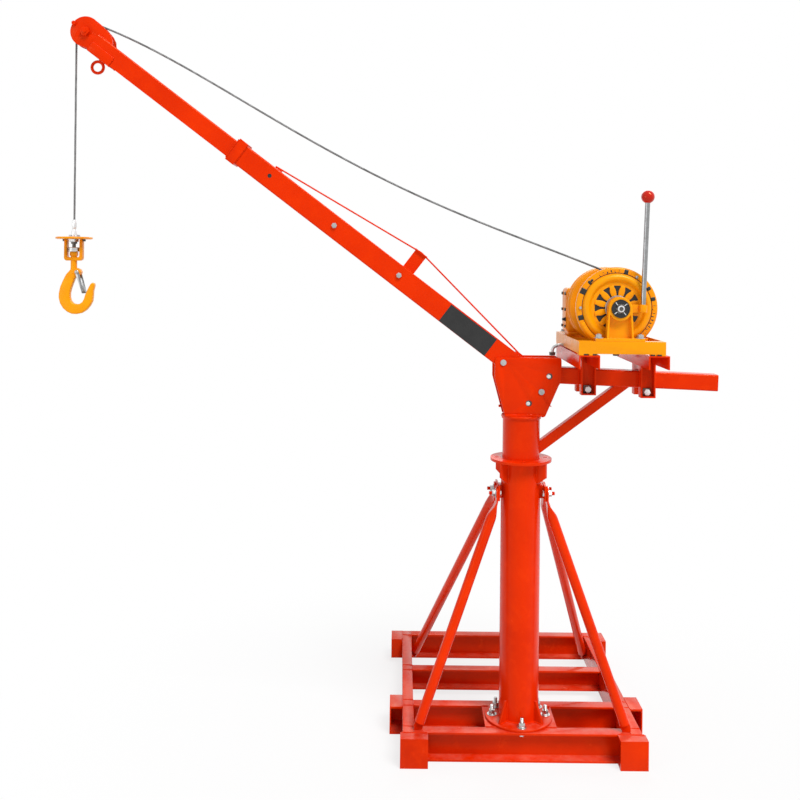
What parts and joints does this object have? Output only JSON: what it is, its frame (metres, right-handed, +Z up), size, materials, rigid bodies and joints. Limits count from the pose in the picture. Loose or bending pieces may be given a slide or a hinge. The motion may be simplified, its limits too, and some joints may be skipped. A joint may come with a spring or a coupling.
{
  "type": "portable mini crane",
  "caption": "Free-standing slewing mini crane: welded channel base, braced round column, luffing telescopic box boom, drum winch on a tail beam, wire rope and hook",
  "frame": {"origin": "on the ground, on the slewing axis", "axes": "+Z up; the boom points to -X and the tail with the winch to +X; the front of the crane, with the column side of the base and the winch's front, faces -Y"},
  "size_m": [2.8319, 1.236, 3.0913],
  "materials": {
    "red_paint": "glossy orange-red enamel over welded steel",
    "yellow_paint": "glossy amber-orange enamel over cast and folded steel",
    "housing_paint": "glossy amber-orange enamel over a hollow casting",
    "motor_grey": "dark grey ribbed motor body",
    "zinc": "zinc-plated steel",
    "steel": "plain machined steel",
    "wire_rope": "galvanised wire rope",
    "ferrule": "pressed aluminium",
    "orange_paint": "glossy orange enamel over forged steel",
    "knob": "glossy red ball"
  },
  "bodies": {
    "base": {"beam_front": "red_paint", "beam_second": "red_paint", "beam_third": "red_paint", "beam_rear": "red_paint", "rail_left": "red_paint", "rail_right": "red_paint", "column_plate": "red_paint", "corner_feet": "red_paint", "strut_feet": "red_paint", "column": "red_paint", "column_foot": "red_paint", "column_head": "red_paint", "strut_front_left": "red_paint", "strut_front_right": "red_paint", "strut_rear_left": "red_paint", "strut_rear_right": "red_paint", "thrust_bearing": "steel"},
    "turret": {"mast": "red_paint", "mast_cap": "red_paint", "head_cheeks": "red_paint", "head_box": "red_paint", "pivot_bolt": "zinc", "lock_pin": "zinc", "tail_beam": "red_paint", "tail_brace": "red_paint", "clamp_near": "red_paint", "clamp_far": "red_paint", "winch_bed": "yellow_paint", "pedestal_front": "yellow_paint", "pedestal_rear": "yellow_paint", "winch_shaft": "steel", "gear_housing": "housing_paint", "motor": "motor_grey", "rope_rear": "wire_rope"},
    "boom": {"outer_boom": "red_paint", "boom_collar": "red_paint", "boom_stay": "red_paint"},
    "extension": {"inner_boom": "red_paint", "tip_plates": "red_paint", "tip_pad": "red_paint", "lifting_eye": "red_paint", "sheave_axle": "zinc", "rope_front": "wire_rope"},
    "sheave_wheel": {"sheave": "steel"},
    "fall": {"rope_fall": "wire_rope"},
    "hook_block": {"rope_socket": "ferrule", "hook_disc": "orange_paint", "hook_yoke": "orange_paint"},
    "hook_turn": {"hook": "orange_paint", "hook_nut": "orange_paint"},
    "latch": {"hook_latch": "zinc"},
    "drum_turn": {"drum": "yellow_paint", "drum_face": "yellow_paint"},
    "lever": {"lever_arm": "yellow_paint", "lever_rod": "zinc", "lever_knob": "knob"}
  },
  "joints": [
    {"name": "slew", "type": "hinge", "parent": "base", "child": "turret", "pos_m": [0, 0, 1.228], "axis": [0, 0, 1], "continuous": true},
    {"name": "luff", "type": "hinge", "parent": "turret", "child": "boom", "pos_m": [-0.085, 0, 1.637], "axis": [0, 1, 0], "range_deg": [-21, 20.5], "deforming": ["rope_rear"]},
    {"name": "telescope", "type": "slide", "parent": "boom", "child": "extension", "axis": [-0.7986, 0, 0.6018], "range_m": [-0.35, 0.35], "deforming": ["rope_front"]},
    {"name": "sheave_spin", "type": "hinge", "parent": "extension", "child": "sheave_wheel", "pos_m": [-1.87667, 0, 3.02631], "axis": [0, 1, 0], "continuous": true},
    {"name": "fall_plumb", "type": "hinge", "parent": "extension", "child": "fall", "pos_m": [-1.87667, 0, 3.02631], "axis": [0, 1, 0], "range_deg": [-21, 21.5]},
    {"name": "hoist", "type": "slide", "parent": "fall", "child": "hook_block", "axis": [0, 0, 1], "range_m": [0, 0.5], "deforming": ["rope_fall"]},
    {"name": "hook_swivel", "type": "hinge", "parent": "hook_block", "child": "hook_turn", "pos_m": [-1.92367, 0, 2.081], "axis": [0, 0, 1], "continuous": true},
    {"name": "latch_pivot", "type": "hinge", "parent": "hook_turn", "child": "latch", "pos_m": [-1.90467, 0, 2], "axis": [0, 1, 0], "range_deg": [0, 28], "stiffness_Nm_per_rad": 0.2, "springref_deg": -20.05},
    {"name": "drum_spin", "type": "hinge", "parent": "turret", "child": "drum_turn", "pos_m": [0.352, -0.14, 1.88], "axis": [0, 1, 0], "range_deg": [0, 229.2]},
    {"name": "lever_swing", "type": "hinge", "parent": "turret", "child": "lever", "pos_m": [0.352, -0.26, 1.88], "axis": [0, 1, 0], "range_deg": [-25, 25]}
  ],
  "couplings": [
    {"joint": "fall_plumb", "follows": "luff", "ratio": -1},
    {"joint": "hoist", "follows": "drum_spin", "m_per_rad": 0.125},
    {"joint": "sheave_spin", "follows": "drum_spin", "ratio": 2.6596}
  ]
}
